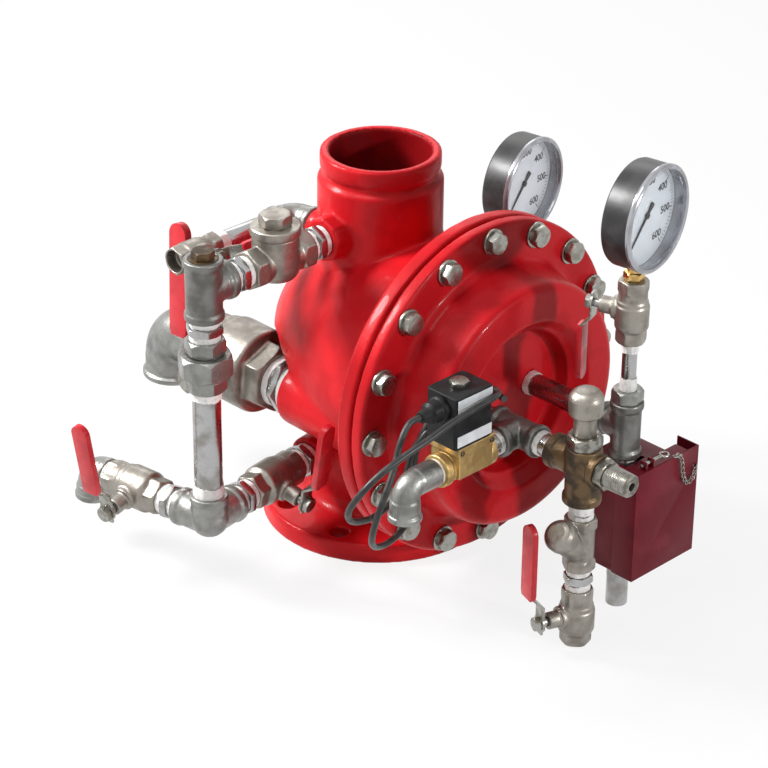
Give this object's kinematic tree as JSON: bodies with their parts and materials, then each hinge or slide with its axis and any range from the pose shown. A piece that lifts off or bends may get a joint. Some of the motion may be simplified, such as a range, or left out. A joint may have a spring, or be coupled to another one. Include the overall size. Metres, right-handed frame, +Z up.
{
  "type": "deluge valve",
  "caption": "Flanged and grooved deluge valve with a bolted diaphragm cover, ball-valve trim, two pressure gauges, a solenoid valve and a manual release box.",
  "frame": {"origin": "centre of the inlet flange's bottom face", "axes": "+Z up along the outlet neck, -Y out of the diaphragm cover, -X towards the riser and the drain"},
  "size_m": [0.5348, 0.5984, 0.4518],
  "materials": {
    "red_paint": "gloss",
    "maroon_paint": "satin",
    "galvanised": "satin",
    "steel_pipe": "satin",
    "stainless": "polished",
    "zinc": "satin",
    "brass": "satin",
    "bronze": "aged",
    "rubber": "matte",
    "grip_vinyl": "gloss",
    "black_plastic": "satin",
    "case_black": "satin",
    "dial_white": "matte",
    "clear": "gloss"
  },
  "bodies": {
    "fixed_trim": {"valve_body": "red_paint", "seat_ring": "bronze", "diaphragm": "rubber", "closing_spring": "stainless", "cover": "red_paint", "cover_bolts": "zinc", "cover_washers": "zinc", "hex_nipples": "steel_pipe", "side_outlet_elbow": "galvanised", "riser_pipe": "steel_pipe", "union_ends": "galvanised", "union_nut": "galvanised", "riser_tee": "galvanised", "tee_plug": "bronze", "check_valve_body": "galvanised", "check_valve_cap": "galvanised", "drain_valve_body": "stainless", "pipe_elbows": "galvanised", "ball_valve_bodies": "stainless", "branch_pipes": "steel_pipe", "tees": "galvanised", "bushings": "galvanised", "gauge_cases": "case_black", "gauge_sockets": "brass", "gauge_dials": "dial_white", "gauge_windows": "clear", "release_box": "maroon_paint", "solenoid_body": "brass", "solenoid_coil": "black_plastic", "solenoid_stem": "stainless", "solenoid_gland": "black_plastic", "solenoid_cord": "rubber", "latch_cross": "bronze", "latch_fittings": "stainless", "strainer_body": "stainless", "strainer_screen": "stainless"},
    "supply_handle": {"supply_valve_ball": "stainless", "supply_lever": "grip_vinyl"},
    "test_handle": {"test_valve_ball": "stainless", "test_lever": "grip_vinyl"},
    "drain_handle": {"drain_valve_ball": "stainless", "drain_lever": "grip_vinyl"},
    "alarm_handle": {"alarm_valve_ball": "stainless", "alarm_lever": "grip_vinyl"},
    "strainer_handle": {"strainer_valve_ball": "stainless", "strainer_lever": "grip_vinyl"},
    "gauge_handle": {"gauge_valve_ball": "stainless", "gauge_lever": "grip_vinyl"},
    "rear_gauge_handle": {"rear_gauge_valve_ball": "stainless", "rear_gauge_lever": "grip_vinyl"},
    "release_handle": {"release_valve_ball": "stainless", "release_lever": "grip_vinyl"},
    "closing_plate": {"seal_plate": "stainless"},
    "clapper": {"check_clapper": "bronze"},
    "front_needle": {"front_pointer": "black_plastic"},
    "rear_needle": {"rear_pointer": "black_plastic"},
    "door": {"box_door": "maroon_paint", "lock_chain": "zinc"},
    "pin": {"lock_pin": "zinc"},
    "knob": {"latch_knob": "stainless"}
  },
  "joints": [
    {"name": "supply_turn", "type": "hinge", "parent": "fixed_trim", "child": "supply_handle", "pos_m": [-0.13088, 0.01253, 0.075], "axis": [0.135, -0.9609, -0.2419], "range_deg": [0, 82]},
    {"name": "test_turn", "type": "hinge", "parent": "fixed_trim", "child": "test_handle", "pos_m": [-0.23253, 0.08912, 0.075], "axis": [-0.9752, -0.1371, -0.1736], "range_deg": [0, 90]},
    {"name": "drain_turn", "type": "hinge", "parent": "fixed_trim", "child": "drain_handle", "pos_m": [-0.084, 0.102, 0.15], "axis": [-0.9945, 0, 0.1045], "range_deg": [0, 85]},
    {"name": "alarm_turn", "type": "hinge", "parent": "fixed_trim", "child": "alarm_handle", "pos_m": [-0.156, 0.0865, 0.297], "axis": [0, -0.9703, 0.2419], "range_deg": [-90, 0]},
    {"name": "strainer_turn", "type": "hinge", "parent": "fixed_trim", "child": "strainer_handle", "pos_m": [-0.04, -0.301, 0.03], "axis": [-0.9511, 0.309, 0], "range_deg": [-90, 0]},
    {"name": "gauge_turn", "type": "hinge", "parent": "fixed_trim", "child": "gauge_handle", "pos_m": [0.037, -0.283, 0.307], "axis": [-0.342, 0.9397, 0], "range_deg": [-90, 0]},
    {"name": "rear_gauge_turn", "type": "hinge", "parent": "fixed_trim", "child": "rear_gauge_handle", "pos_m": [0.172, -0.014, 0.207], "axis": [0, 1, 0], "range_deg": [-90, 0]},
    {"name": "release_turn", "type": "hinge", "parent": "fixed_trim", "child": "release_handle", "pos_m": [0.037, -0.283, 0.1], "axis": [0, -1, 0], "range_deg": [-90, 0]},
    {"name": "plate_lift", "type": "slide", "parent": "fixed_trim", "child": "closing_plate", "axis": [0, -1, 0], "range_m": [0, 0.016], "stiffness_N_per_m": 900, "deforming": ["diaphragm", "closing_spring"]},
    {"name": "clapper_swing", "type": "hinge", "parent": "fixed_trim", "child": "clapper", "pos_m": [-0.1485, 0, 0.3305], "axis": [0, -1, 0], "range_deg": [0, 70]},
    {"name": "front_gauge_reading", "type": "hinge", "parent": "fixed_trim", "child": "front_needle", "pos_m": [0.037, -0.283, 0.402], "axis": [-0.1564, 0.9877, 0], "range_deg": [0, 270]},
    {"name": "rear_gauge_reading", "type": "hinge", "parent": "fixed_trim", "child": "rear_needle", "pos_m": [0.172, -0.014, 0.302], "axis": [-0.1564, 0.9877, 0], "range_deg": [0, 270]},
    {"name": "door_swing", "type": "hinge", "parent": "fixed_trim", "child": "door", "pos_m": [0.0605, -0.302, 0.053], "axis": [1, 0, 0], "range_deg": [0, 85]},
    {"name": "pin_pull", "type": "slide", "parent": "fixed_trim", "child": "pin", "axis": [1, 0, 0], "range_m": [0, 0.02]},
    {"name": "knob_lift", "type": "slide", "parent": "fixed_trim", "child": "knob", "axis": [0, 0, 1], "range_m": [0, 0.009]}
  ]
}
